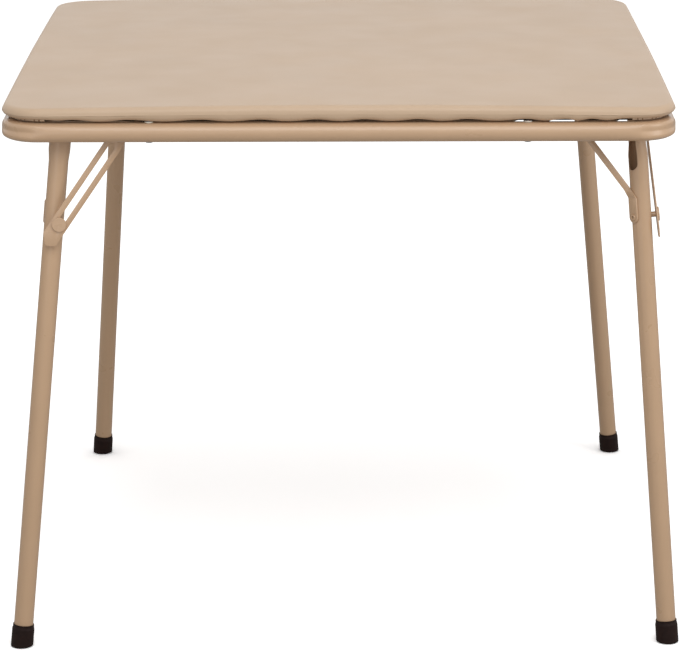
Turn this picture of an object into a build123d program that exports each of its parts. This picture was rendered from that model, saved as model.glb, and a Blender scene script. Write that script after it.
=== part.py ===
"""Folding card table: a bent tube frame, a padded vinyl top and four tubular legs.

Each leg turns on a rod in a pressed bracket and folds flat along one side of the frame.
A slotted brace on the outer side of the leg locks it open, and a flat stay on its inner
side keeps it from swaying. +Z is up, +Y is the back, and the origin lies on the floor
under the middle of the table.
"""
from build123d import *
from math import atan2, cos, hypot, radians, sin
import os

os.makedirs("parts", exist_ok=True)

# Driving dimensions of the whole table, in millimetres
table_width = 864.0
frame_height = 674.0
rail_diameter = 25.4
rail_wall = 1.6
rail_bend_radius = 38.0
bend_flat_depth = 0.9
leg_diameter = 25.4
leg_wall = 1.2
cut_overrun = 2.0

# Where each leg hinges, measured from the outside of its corner, and how it leans
# The back left leg stands further in than the other three, clear of the folded back right
# leg, and a folded leg hangs a little below the flat, clear of the stay it lies across
fold_inset = 77.0
side_inset = 49.5
fold_lean_angle = 5.4
side_lean_angle = 4.15
fold_drop_angle = 2.4
back_left_fold_inset = 82.0
back_left_side_inset = 103.0
back_left_fold_lean_angle = 6.5

# Hinge rod, bracket and the pressed top of a leg
hinge_drop = 3.4
hinge_rod_diameter = 7.0
hinge_rod_head_diameter = 11.0
hinge_rod_head_height = 1.4
running_clearance = 0.06
seat_clearance = 0.3
leg_top_half_width = 14.0
leg_top_half_depth = 11.2
leg_press_end = 40.0
leg_press_blend = 14.0
leg_window_width = 16.4
leg_window_length = 47.0
leg_window_end = 59.0
window_turn_angle = 40.0
bracket_sheet = 1.6
ear_sheet = 2.0
ear_radius = 9.0
ear_gap = 0.8
web_clearance = 1.4
web_half_width = 15.0
web_weld_inset = 16.8

# Foot cap
cap_diameter = 29.4
cap_length = 30.0
cap_base = 5.0
cap_lip_height = 3.0
cap_lip_depth = 0.8
cap_chamfer_height = 1.5
cap_chamfer_depth = 3.0
cap_bore_clearance = 0.05

# Lock pin and slotted brace; the pin stands off the leg's axis, towards the fold
pin_reach = 120.0
pin_side_offset = 8.6
brace_pivot_reach = 83.0
brace_pivot_rise = 4.2
brace_pivot_radius = 8.5
brace_taper_length = 30.0
brace_pivot_gap = 3.2
pin_gap = 6.5
pin_diameter = 7.2
pin_head_diameter = 18.6
pin_head_height = 2.0
pin_head_edge = 0.6
slot_width = 8.4
slot_end_clearance = 0.5
slot_near_margin = 10.0
brace_width = 23.0
brace_sheet = 1.8
brace_end_reach = 33.0
brace_upper_edge_reach = 20.0
brace_lower_edge_reach = 26.0
brace_corner_radius = 4.0
brace_rivet_diameter = 6.0
brace_rivet_head_diameter = 11.0
brace_rivet_head_height = 1.4

# Flat stay on the inner side of a leg
stay_reach = 71.5
stay_width = 8.0
stay_sheet = 2.0
stay_crease_height = 38.0
stay_twist_length = 13.0
stay_tab_width = 14.5
stay_tab_turn_angle = 38.0
stay_rivet_diameter = 5.4
stay_rivet_head_diameter = 9.0
stay_rivet_head_height = 1.4
stay_rivet_bore = 3.0
head_taper_angle = 20.0

# Top: hardboard, foam, vinyl, and the screws and washers that hold it to the frame
pad_side_gap = 2.0
pad_corner_radius = 52.0
hem_gap = 1.6
cover_thickness = 0.9
board_thickness = 5.0
board_inset = 7.0
foam_clearance = 0.3
hem_width = 28.0
pad_edge_height = 21.0
pad_top_roll = 9.0
pad_bottom_roll = 6.0
pad_crown = 5.0
screw_spacing = 480.0
screw_diameter = 4.8
screw_head_diameter = 9.0
screw_head_height = 1.3
screw_head_clearance = 0.02
screw_bite = 4.0
screw_hole_clearance = 0.3
washer_diameter = 11.0

# Sizes that follow from those
half_width = table_width / 2
pad_width = table_width - 2 * pad_side_gap
rail_radius = rail_diameter / 2
leg_radius = leg_diameter / 2
rod_radius = hinge_rod_diameter / 2
pin_radius = pin_diameter / 2
rail_axis_height = frame_height + rail_radius
rail_top = frame_height + rail_diameter
hinge_height = rail_axis_height - hinge_drop
web_bottom = hinge_height + leg_top_half_width + web_clearance
web_top = web_bottom + bracket_sheet
hem_bottom = rail_top + hem_gap
board_bottom = hem_bottom + cover_thickness
board_top = board_bottom + board_thickness
plate_offset = leg_radius + brace_pivot_gap + brace_sheet / 2
pin_plate_offset = leg_radius + pin_gap + brace_sheet / 2


class LegSet:
    """Directions, points and planes of one leg, its bracket, stay, brace and pin."""

    def __init__(self, name, turn, along, across, lean):
        self.name = name
        self.along = along
        self.across = across
        # Fold direction along the rail, outward direction, and the tilted hinge axis
        self.fold = Vector(1, 0, 0).rotate(Axis.Z, turn)
        self.out = Vector(0, -1, 0).rotate(Axis.Z, turn)
        self.axis = self.out * cos(radians(side_lean_angle)) + Vector(0, 0, 1) * sin(radians(side_lean_angle))
        self.up = self.axis.cross(self.fold)
        self.corner = (self.out - self.fold) * half_width
        on_plan = self.corner + self.fold * along - self.out * across
        self.hinge = on_plan + Vector(0, 0, hinge_height)
        self.fold_plane = Plane(origin=self.hinge, x_dir=self.fold, z_dir=self.axis)
        # The leg as it stands, z down the tube, x towards the fold and y outward
        self.down = self.fold * -sin(radians(lean)) - self.up * cos(radians(lean))
        self.front = self.fold * cos(radians(lean)) - self.up * sin(radians(lean))
        self.leg_plane = Plane(origin=self.hinge, x_dir=self.front, z_dir=self.down)
        self.floor_reach = -self.hinge.Z / self.down.Z
        # The brace plate tilts out a little more than the leg, to give the pin its length
        self.pivot = self.hinge + self.fold * brace_pivot_reach + self.up * brace_pivot_rise
        self.pivot = self.pivot + self.axis * plate_offset
        pin_root = self.hinge + self.down * pin_reach + self.front * pin_side_offset
        spread = atan2(pin_plate_offset - plate_offset, (self.pivot - pin_root).dot(self.up))
        self.plate_axis = self.axis * cos(spread) + self.up * sin(spread)
        to_plate = (self.pivot - pin_root).dot(self.plate_axis) / self.axis.dot(self.plate_axis)
        self.pin = pin_root + self.axis * to_plate
        self.slot = (self.pin - self.pivot).normalized()
        self.slot_reach = (self.pin - self.pivot).length
        self.brace_plane = Plane(origin=self.pivot, x_dir=self.slot, z_dir=self.plate_axis)
        # Where the pin lies when the leg is folded, along the brace from its pivot
        drop = radians(fold_drop_angle)
        folded_along = pin_reach * cos(drop) + pin_side_offset * sin(drop) - brace_pivot_reach
        folded_rise = pin_side_offset * cos(drop) - pin_reach * sin(drop) - brace_pivot_rise
        self.folded_reach = hypot(folded_along, folded_rise)
        self.pin_plane = Plane(origin=self.pin, x_dir=self.slot, z_dir=self.plate_axis)


leg_sets = [
    LegSet("front_left", 0, fold_inset, side_inset, fold_lean_angle),
    LegSet("front_right", 90, fold_inset, side_inset, fold_lean_angle),
    LegSet("back_right", 180, fold_inset, side_inset, fold_lean_angle),
    LegSet("back_left", 270, back_left_fold_inset, back_left_side_inset, back_left_fold_lean_angle),
]


def save(piece, name):
    """Label a finished piece and write it as one STEP file."""
    piece.part.label = name
    export_step(piece.part, "parts/" + name + ".step")


def screw_places(height):
    """The planes of the screws, two on each rail, at one height."""
    places = []
    for turn in range(0, 360, 90):
        for side in (-1, 1):
            at = Vector(side * screw_spacing / 2, rail_radius - half_width, 0).rotate(Axis.Z, turn)
            places.append(Plane(origin=at + Vector(0, 0, height)))
    return places


def make_frame_tube():
    """One tube bent into a square ring, with the outer wall of each bend pressed flat."""
    bend_centre = half_width - rail_radius - rail_bend_radius
    with BuildPart() as frame_tube:
        for turn in range(0, 360, 90):
            along = Vector(1, 0, 0).rotate(Axis.Z, turn)
            middle = Vector(0, rail_radius - half_width, rail_axis_height).rotate(Axis.Z, turn)
            with BuildSketch(Plane(origin=middle, x_dir=(0, 0, 1), z_dir=along)):
                Circle(rail_radius)
            extrude(amount=bend_centre, both=True)
            centre = Vector(bend_centre, -bend_centre, rail_axis_height).rotate(Axis.Z, turn)
            start = centre + Vector(0, -rail_bend_radius, 0).rotate(Axis.Z, turn)
            with BuildSketch(Plane(origin=start, x_dir=(0, 0, 1), z_dir=along)):
                Circle(rail_radius)
            revolve(axis=Axis(centre, (0, 0, 1)), revolution_arc=90)
        for turn in range(0, 360, 90):
            along = Vector(1, 0, 0).rotate(Axis.Z, turn)
            middle = Vector(0, rail_radius - half_width, rail_axis_height).rotate(Axis.Z, turn)
            with BuildSketch(Plane(origin=middle, x_dir=(0, 0, 1), z_dir=along)):
                Circle(rail_radius - rail_wall)
            extrude(amount=bend_centre, both=True, mode=Mode.SUBTRACT)
            centre = Vector(bend_centre, -bend_centre, rail_axis_height).rotate(Axis.Z, turn)
            start = centre + Vector(0, -rail_bend_radius, 0).rotate(Axis.Z, turn)
            with BuildSketch(Plane(origin=start, x_dir=(0, 0, 1), z_dir=along)):
                Circle(rail_radius - rail_wall)
            revolve(axis=Axis(centre, (0, 0, 1)), revolution_arc=90, mode=Mode.SUBTRACT)
            # The flat on the outer wall, a ring of rectangular section turned round the bend
            with BuildSketch(Plane(origin=start, x_dir=(0, 0, 1), z_dir=along)) as flat:
                flat_middle = rail_radius - bend_flat_depth + cut_overrun
                outward = flat.workplanes[0].to_local_coords(start - centre).normalized()
                with Locations((outward.X * flat_middle, outward.Y * flat_middle)):
                    Rectangle(rail_diameter, 2 * cut_overrun)
            revolve(axis=Axis(centre, (0, 0, 1)), revolution_arc=90, mode=Mode.SUBTRACT)
        # Holes for the screws of the top, and a small flat under each head
        for place in screw_places(frame_height - cut_overrun):
            with BuildSketch(place):
                Circle(screw_diameter / 2 + screw_hole_clearance)
            extrude(amount=rail_diameter + 2 * cut_overrun, mode=Mode.SUBTRACT)
            with BuildSketch(place):
                Circle(screw_head_diameter / 2 + screw_hole_clearance)
            extrude(amount=cut_overrun + rail_wall / 2, mode=Mode.SUBTRACT)
    save(frame_tube, "frame_tube")


def make_bracket(leg):
    """Pressed bracket: a web welded to the rail, two hinge ears and an ear for the brace."""
    ear_outer = leg_top_half_depth + ear_gap
    ear_inner = stay_reach + stay_width / 2 + ear_gap
    brace_ear = brace_sheet / 2 + seat_clearance
    inner_end = leg.across + ear_inner + ear_sheet + web_weld_inset - rail_radius
    brace_end = leg.along + brace_pivot_reach + ear_radius
    brace_side = leg.across - plate_offset + ear_radius
    on_web = Plane(origin=leg.corner + Vector(0, 0, web_bottom), x_dir=leg.fold, z_dir=(0, 0, 1))
    with BuildPart() as bracket:
        # Hinge ears, round the rod and up past the web
        for offset in (ear_outer, -ear_inner - ear_sheet):
            with BuildSketch(leg.fold_plane.offset(offset)):
                Circle(ear_radius)
                Rectangle(2 * ear_radius, leg_diameter, align=(Align.CENTER, Align.MIN))
            extrude(amount=ear_sheet)
        ear_plane = Plane(origin=leg.pivot, x_dir=leg.fold, z_dir=leg.plate_axis)
        with BuildSketch(ear_plane.offset(brace_ear)):
            Circle(ear_radius)
            Rectangle(2 * ear_radius, leg_diameter, align=(Align.CENTER, Align.MIN))
        extrude(amount=ear_sheet)
        split(bisect_by=Plane.XY.offset(web_top), keep=Keep.BOTTOM)
        with BuildSketch(on_web):
            with Locations((leg.along, web_weld_inset)):
                Rectangle(2 * web_half_width, leg.across, align=(Align.CENTER, Align.MIN))
                Rectangle(2 * ear_radius, inner_end - web_weld_inset, align=(Align.CENTER, Align.MIN))
                Rectangle(brace_end - leg.along, brace_side - web_weld_inset, align=Align.MIN)
        extrude(amount=bracket_sheet)
        # The web rests on the shoulder of the rail
        rail_axis = leg.corner - leg.out * rail_radius + Vector(0, 0, rail_axis_height)
        with BuildSketch(Plane(origin=rail_axis, x_dir=(0, 0, 1), z_dir=leg.fold)):
            Circle(rail_radius)
        extrude(amount=table_width, mode=Mode.SUBTRACT)
        # Holes of the hinge rod and of the brace rivet
        with BuildSketch(leg.fold_plane.offset(-ear_inner - ear_sheet - cut_overrun)):
            Circle(rod_radius)
        extrude(amount=ear_inner + ear_outer + 2 * (ear_sheet + cut_overrun), mode=Mode.SUBTRACT)
        with BuildSketch(ear_plane.offset(brace_ear - seat_clearance)):
            Circle(brace_rivet_diameter / 2)
        extrude(amount=ear_sheet + 2 * seat_clearance, mode=Mode.SUBTRACT)
    save(bracket, leg.name + "_bracket")


def make_hinge_rod(leg):
    """Rod through both ears, the leg and the eye of the stay, with a head on each end."""
    outer_face = leg_top_half_depth + ear_gap + ear_sheet
    inner_face = stay_reach + stay_width / 2 + ear_gap + ear_sheet
    with BuildPart() as hinge_rod:
        with BuildSketch(leg.fold_plane.offset(-inner_face)):
            Circle(rod_radius)
        extrude(amount=inner_face + outer_face)
        with BuildSketch(leg.fold_plane.offset(outer_face)):
            Circle(hinge_rod_head_diameter / 2)
        extrude(amount=hinge_rod_head_height)
        with BuildSketch(leg.fold_plane.offset(-inner_face - hinge_rod_head_height)):
            Circle(hinge_rod_head_diameter / 2)
        extrude(amount=hinge_rod_head_height)
        rims = hinge_rod.edges().filter_by(GeomType.CIRCLE)
        wide = [rim for rim in rims if rim.radius > rod_radius + running_clearance]
        ends = ShapeList(wide).sort_by(Axis(leg.hinge, leg.axis))
        fillet([ends[0], ends[-1]], hinge_rod_head_height / 2)
    save(hinge_rod, leg.name + "_hinge_rod")


def make_brace_rivet(leg):
    """Shouldered rivet that carries the brace on its ear."""
    ear_side = brace_sheet / 2 + seat_clearance + ear_sheet
    brace_side = brace_sheet / 2 + seat_clearance
    with BuildPart() as brace_rivet:
        with BuildSketch(leg.brace_plane.offset(-brace_side)):
            Circle(brace_rivet_diameter / 2)
        extrude(amount=brace_side + ear_side)
        with BuildSketch(leg.brace_plane.offset(ear_side)):
            Circle(brace_rivet_head_diameter / 2)
        extrude(amount=brace_rivet_head_height)
        with BuildSketch(leg.brace_plane.offset(-brace_side - brace_rivet_head_height)):
            Circle(brace_rivet_head_diameter / 2)
        extrude(amount=brace_rivet_head_height)
    save(brace_rivet, leg.name + "_brace_rivet")


def make_leg_tube(leg):
    """Leg tube: round below, pressed oval at the hinge, with a rounded top and a window."""
    tube_end = leg.floor_reach - cap_base
    with BuildPart() as leg_tube:
        for wall, mode in ((0, Mode.ADD), (leg_wall, Mode.SUBTRACT)):
            with BuildSketch(leg.leg_plane.offset(leg_press_end)):
                Circle(leg_radius - wall)
            extrude(amount=tube_end - leg_press_end, mode=mode)
            with BuildSketch(leg.leg_plane.offset(leg_press_end)):
                Circle(leg_radius - wall)
            with BuildSketch(leg.leg_plane.offset(leg_press_end - leg_press_blend)):
                Ellipse(leg_top_half_width - wall, leg_top_half_depth - wall)
            loft(mode=mode)
            with BuildSketch(leg.leg_plane.offset(leg_press_end - leg_press_blend)):
                Ellipse(leg_top_half_width - wall, leg_top_half_depth - wall)
            extrude(amount=leg_press_blend - leg_press_end - leg_top_half_width, mode=mode)
        # Rounded top, so that the leg turns under the web
        with BuildSketch(leg.fold_plane.offset(-leg_radius)):
            with Locations((0, leg_top_half_width)):
                Rectangle(2 * leg_diameter, 2 * leg_top_half_width)
            Circle(leg_top_half_width, mode=Mode.SUBTRACT)
        extrude(amount=leg_diameter, mode=Mode.SUBTRACT)
        # Hole of the hinge rod through both walls
        with BuildSketch(leg.fold_plane.offset(-leg_radius)):
            Circle(rod_radius + running_clearance)
        extrude(amount=leg_diameter, mode=Mode.SUBTRACT)
        # Rounded window between the inner side and the side away from the fold
        facing = leg.axis * -cos(radians(window_turn_angle)) - leg.front * sin(radians(window_turn_angle))
        window_middle = leg.hinge + leg.down * (leg_window_end - leg_window_length / 2)
        with BuildSketch(Plane(origin=window_middle, x_dir=leg.down, z_dir=facing)):
            SlotOverall(leg_window_length, leg_window_width)
        extrude(amount=leg_top_half_width + cut_overrun, mode=Mode.SUBTRACT)
        # Hole of the stay rivet
        with BuildSketch(stay_rivet_plane(leg)):
            Circle(stay_rivet_diameter / 2 + cap_bore_clearance)
        extrude(amount=leg_diameter, mode=Mode.SUBTRACT)
    save(leg_tube, leg.name + "_leg")


def make_foot_cap(leg):
    """Rubber cap with a thin lip, coaxial with its leg and flat on the floor."""
    cap_radius = cap_diameter / 2
    cap_top = leg.floor_reach - cap_length
    section = Plane(origin=leg.hinge, x_dir=leg.front, z_dir=leg.axis)
    with BuildPart() as foot_cap:
        with BuildSketch(section):
            with BuildLine():
                Polyline(
                    (leg_radius + cap_bore_clearance, -cap_top),
                    (cap_radius - cap_lip_depth, -cap_top),
                    (cap_radius - cap_lip_depth, -cap_top - cap_lip_height),
                    (cap_radius, -cap_top - 2 * cap_lip_height),
                    (cap_radius, -leg.floor_reach - cap_lip_height),
                    (0, -leg.floor_reach - cap_lip_height),
                    (0, -leg.floor_reach + cap_base),
                    (leg_radius + cap_bore_clearance, -leg.floor_reach + cap_base),
                    close=True,
                )
            make_face()
        revolve(axis=Axis(leg.hinge, leg.down))
        with BuildSketch(Plane.XY):
            Rectangle(2 * table_width, 2 * table_width)
        extrude(amount=-cap_length, mode=Mode.SUBTRACT)
        floor_rim = foot_cap.faces().sort_by(Axis.Z)[0].edges()
        chamfer(floor_rim, cap_chamfer_height, cap_chamfer_depth)
    save(foot_cap, leg.name + "_foot_cap")


def stay_rivet_plane(leg):
    """The rivet's plane at the leg's axis, facing out through the tab of the stay."""
    turn = radians(stay_tab_turn_angle)
    facing = leg.axis * -cos(turn) - leg.front * sin(turn)
    return Plane(origin=leg.hinge + leg.down * pin_reach, x_dir=leg.down, z_dir=facing)


def make_stay(leg):
    """Flat stay: rolled eye on the hinge rod, slanted bar, and a twisted tab on the leg."""
    eye_radius = rod_radius + running_clearance + stay_sheet
    bar_shift = rod_radius + running_clearance + stay_sheet / 2
    rivet = stay_rivet_plane(leg)
    tab_middle = leg_radius + stay_sheet / 2
    bar_top = leg.hinge - leg.axis * stay_reach - leg.front * bar_shift
    crease_side = leg_radius + stay_width / 2 + stay_sheet / 2
    crease = leg.hinge + leg.down * (pin_reach - stay_crease_height)
    crease = crease - leg.axis * crease_side - leg.front * bar_shift
    slant = (crease - bar_top).normalized()
    tab_length = stay_crease_height - stay_twist_length
    twist_end = rivet.origin + rivet.z_dir * tab_middle - leg.down * tab_length
    with BuildPart() as stay:
        with BuildSketch(leg.fold_plane.offset(-stay_reach - stay_width / 2)):
            Circle(eye_radius)
        extrude(amount=stay_width)
        with BuildSketch(Plane(origin=bar_top, x_dir=leg.front, z_dir=slant)):
            Rectangle(stay_sheet, stay_width)
        extrude(amount=(crease - bar_top).length)
        with BuildSketch(Plane(origin=crease, x_dir=leg.front, z_dir=slant)):
            Rectangle(stay_sheet, stay_width)
        with BuildSketch(Plane(origin=twist_end, x_dir=rivet.z_dir * -1, z_dir=leg.down)):
            Rectangle(stay_sheet, stay_tab_width)
        loft(ruled=True)
        tab = Plane(origin=rivet.origin + rivet.z_dir * leg_radius, x_dir=leg.down, z_dir=rivet.z_dir)
        with BuildSketch(tab):
            Circle(stay_tab_width / 2)
            Rectangle(tab_length, stay_tab_width, align=(Align.MAX, Align.CENTER))
        extrude(amount=stay_sheet)
        with BuildSketch(leg.fold_plane.offset(-stay_reach - stay_width)):
            Circle(rod_radius + running_clearance)
        extrude(amount=2 * stay_width, mode=Mode.SUBTRACT)
        with BuildSketch(rivet):
            Circle(stay_rivet_diameter / 2 + cap_bore_clearance)
        extrude(amount=leg_diameter, mode=Mode.SUBTRACT)
    save(stay, leg.name + "_stay")


def make_stay_rivet(leg):
    """Hollow rivet that holds the tab of the stay to the leg."""
    rivet = stay_rivet_plane(leg)
    inside = leg_radius - leg_wall
    with BuildPart() as stay_rivet:
        with BuildSketch(rivet.offset(inside)):
            Circle(stay_rivet_diameter / 2)
        extrude(amount=leg_wall + stay_sheet)
        with BuildSketch(rivet.offset(leg_radius + stay_sheet)):
            Circle(stay_rivet_head_diameter / 2)
        extrude(amount=stay_rivet_head_height, taper=head_taper_angle)
        with BuildSketch(rivet.offset(inside - cut_overrun)):
            Circle(stay_rivet_bore / 2)
        extrude(amount=leg_diameter, mode=Mode.SUBTRACT)
    save(stay_rivet, leg.name + "_stay_rivet")


def make_brace(leg):
    """Slotted lock brace, tapered to its pivot end and cut along the leg at its finger tab."""
    slot_start = leg.folded_reach - slot_near_margin
    slot_stop = leg.slot_reach + pin_radius + slot_end_clearance
    with BuildPart() as brace:
        with BuildSketch(leg.brace_plane.offset(-brace_sheet / 2)) as plate:
            with BuildLine():
                Polyline(
                    (0, -brace_pivot_radius),
                    (brace_taper_length, -brace_width / 2),
                    (leg.slot_reach + brace_upper_edge_reach, -brace_width / 2),
                    (leg.slot_reach + brace_end_reach, 0),
                    (leg.slot_reach + brace_lower_edge_reach, brace_width / 2),
                    (brace_taper_length, brace_width / 2),
                    (0, brace_pivot_radius),
                    close=True,
                )
            make_face()
            fillet(plate.vertices().sort_by(Axis.X)[-3:], brace_corner_radius)
            Circle(brace_pivot_radius)
            Circle(brace_rivet_diameter / 2 + running_clearance, mode=Mode.SUBTRACT)
            with Locations(((slot_start + slot_stop) / 2, 0)):
                SlotOverall(slot_stop - slot_start, slot_width, mode=Mode.SUBTRACT)
        extrude(amount=brace_sheet)
    save(brace, leg.name + "_brace")


def make_lock_pin(leg):
    """Lock pin: a shank off the leg and a broad flat head outside the brace."""
    shank_length = pin_plate_offset - leg_radius - seat_clearance
    head_seat = brace_sheet / 2 + seat_clearance
    with BuildPart() as lock_pin:
        with BuildSketch(leg.pin_plane.offset(-shank_length)):
            Circle(pin_radius)
        extrude(amount=shank_length + head_seat)
        with BuildSketch(leg.pin_plane.offset(head_seat)):
            Circle(pin_head_diameter / 2)
        extrude(amount=pin_head_height)
        rims = lock_pin.edges().filter_by(GeomType.CIRCLE)
        wide = [rim for rim in rims if rim.radius > pin_diameter]
        fillet(ShapeList(wide).sort_by(Axis(leg.pin, leg.plate_axis))[-1], pin_head_edge)
    save(lock_pin, leg.name + "_lock_pin")


def pad_form(inset):
    """The padded top's form, drawn in by an inset: crowned, with rolled edges."""
    half = pad_width / 2 - inset
    crown_radius = half * half / (2 * pad_crown)
    crown_top = hem_bottom + pad_edge_height + pad_crown - inset
    with BuildPart() as form:
        with BuildSketch(Plane.XY.offset(hem_bottom + inset)):
            RectangleRounded(2 * half, 2 * half, pad_corner_radius - inset)
        extrude(amount=pad_edge_height + pad_crown)
        with Locations((0, 0, crown_top - crown_radius)):
            Sphere(crown_radius, mode=Mode.INTERSECT)
        top_edges = form.faces().sort_by(Axis.Z)[-1].edges()
        fillet(top_edges, pad_top_roll - inset)
        bottom_edges = form.faces().sort_by(Axis.Z)[0].edges()
        fillet(bottom_edges, pad_bottom_roll - inset)
    return form.part


def make_top():
    """Hardboard, foam and vinyl cover of the top."""
    board_half = pad_width / 2 - board_inset
    board_radius = pad_corner_radius * board_half / (pad_width / 2)
    hem_inner = 2 * (board_half - hem_width)
    with BuildPart() as top_board:
        with BuildSketch(Plane.XY.offset(board_bottom)):
            RectangleRounded(2 * board_half, 2 * board_half, board_radius)
        extrude(amount=board_thickness)
        for place in screw_places(board_bottom):
            with BuildSketch(place):
                Circle(screw_diameter / 2)
            extrude(amount=screw_bite, mode=Mode.SUBTRACT)
    save(top_board, "top_board")
    foam_form = pad_form(cover_thickness + foam_clearance)
    outer_form = pad_form(0)
    inner_form = pad_form(cover_thickness)
    with BuildPart() as foam_pad:
        add(foam_form)
        with BuildSketch(Plane.XY.offset(board_bottom - cut_overrun)):
            RectangleRounded(2 * board_half, 2 * board_half, board_radius)
        extrude(amount=board_thickness + cut_overrun, mode=Mode.SUBTRACT)
    save(foam_pad, "foam_pad")
    with BuildPart() as vinyl_cover:
        add(outer_form)
        add(inner_form, mode=Mode.SUBTRACT)
        with BuildSketch(Plane.XY.offset(hem_bottom - cut_overrun)):
            RectangleRounded(hem_inner, hem_inner, board_radius - hem_width)
        extrude(amount=cover_thickness + 2 * cut_overrun, mode=Mode.SUBTRACT)
        for place in screw_places(hem_bottom - cut_overrun):
            with BuildSketch(place):
                Circle(screw_diameter / 2 + screw_hole_clearance)
            extrude(amount=cover_thickness + 2 * cut_overrun, mode=Mode.SUBTRACT)
    save(vinyl_cover, "vinyl_cover")


def make_screws():
    """Screws up through the rails into the board, and the washers under the hem."""
    head_seat = frame_height + rail_wall / 2 - screw_head_clearance
    with BuildPart() as top_screws:
        for place in screw_places(head_seat):
            with BuildSketch(place):
                Circle(screw_diameter / 2)
            extrude(amount=board_bottom + screw_bite - head_seat)
            with BuildSketch(place):
                Circle(screw_head_diameter / 2)
            extrude(amount=-screw_head_height, taper=head_taper_angle)
    save(top_screws, "top_screws")
    with BuildPart() as top_washers:
        for place in screw_places(rail_top):
            with BuildSketch(place):
                Circle(washer_diameter / 2)
                Circle(screw_diameter / 2 + screw_hole_clearance, mode=Mode.SUBTRACT)
            extrude(amount=hem_gap)
    save(top_washers, "top_washers")


make_frame_tube()
make_top()
make_screws()
for leg_set in leg_sets:
    make_bracket(leg_set)
    make_hinge_rod(leg_set)
    make_brace_rivet(leg_set)
    make_leg_tube(leg_set)
    make_foot_cap(leg_set)
    make_stay(leg_set)
    make_stay_rivet(leg_set)
    make_brace(leg_set)
    make_lock_pin(leg_set)
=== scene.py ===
"""Looks of the folding card table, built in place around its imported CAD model.

The padded vinyl top, the painted rail, legs, braces and stays, the rubber feet and the small
steel parts get their finish here, with the staples and welds that are too fine for the model.
Lengths are in metres, in the frame of the CAD: +Z up, +Y at the back, the floor at zero.
"""

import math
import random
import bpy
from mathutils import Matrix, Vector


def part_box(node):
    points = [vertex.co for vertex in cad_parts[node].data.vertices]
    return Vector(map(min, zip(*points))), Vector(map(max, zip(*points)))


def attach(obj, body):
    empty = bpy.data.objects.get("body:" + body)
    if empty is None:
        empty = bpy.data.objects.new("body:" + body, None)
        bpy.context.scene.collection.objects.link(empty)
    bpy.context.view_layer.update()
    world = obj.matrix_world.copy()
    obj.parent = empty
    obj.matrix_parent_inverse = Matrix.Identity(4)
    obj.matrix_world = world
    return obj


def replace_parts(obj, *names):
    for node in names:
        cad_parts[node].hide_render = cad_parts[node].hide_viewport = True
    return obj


bl_info = {
    "name": "Folding card table",
    "version": (1, 0, 0),
    "blender": (4, 5, 0),
    "location": "View3D > Sidebar > Card Table",
    "description": "Dresses the packed folding card table with vinyl, paint, rubber and steel",
    "category": "Object",
}

import bmesh
import bpy
from mathutils import Matrix, Vector, noise

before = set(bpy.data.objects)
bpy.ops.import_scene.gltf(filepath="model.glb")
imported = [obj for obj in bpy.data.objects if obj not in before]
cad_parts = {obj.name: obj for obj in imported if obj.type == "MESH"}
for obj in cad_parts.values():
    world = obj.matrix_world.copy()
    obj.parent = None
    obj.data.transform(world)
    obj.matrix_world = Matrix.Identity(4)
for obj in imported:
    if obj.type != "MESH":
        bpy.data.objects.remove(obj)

MM = 0.001
CORNERS = ("front_left", "front_right", "back_right", "back_left")
SIDE_COUNT = 4
QUARTER_TURN = math.pi / 2

# Merging distance, and angles that part flat, sharp and creased edges, on a copied CAD mesh
MERGE_GAP = 0.005 * MM
FLAT_ANGLE = math.radians(0.4)
SHARP_ANGLE = math.radians(40)
CREASE_ANGLE = math.radians(50)
# A wave texture of scale 1 repeats at this distance, and a noise stays mostly in this range
WAVE_PERIOD = 2 * math.pi / 20
NOISE_RANGE = {"From Min": 0.3, "From Max": 0.7}

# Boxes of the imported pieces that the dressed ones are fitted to
PAD_LOW, PAD_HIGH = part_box("vinyl_cover")
BOARD_LOW, BOARD_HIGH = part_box("top_board")
RAIL_LOW, RAIL_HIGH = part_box("frame_tube")


def linear(value):
    """An sRGB hex colour as linear red, green, blue and alpha."""
    channels = [int(value[i : i + 2], 16) / 255 for i in (1, 3, 5)]
    curve = [c / 12.92 if c <= 0.04045 else ((c + 0.055) / 1.055) ** 2.4 for c in channels]
    return (*curve, 1.0)


def hex_colour(value, name, description):
    """A colour property whose default is an sRGB hex value."""
    return bpy.props.FloatVectorProperty(
        name=name, description=description, subtype="COLOR", size=4,
        min=0, max=1, default=linear(value),
    )


def length(value, name, description):
    """A length property, in metres, whose default is given in millimetres."""
    return bpy.props.FloatProperty(
        name=name, description=description, default=value * MM, unit="LENGTH", precision=4
    )


def angle(value, name, description):
    """An angle property, in radians, whose default is given in degrees."""
    return bpy.props.FloatProperty(
        name=name, description=description, default=math.radians(value), subtype="ANGLE"
    )


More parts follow.
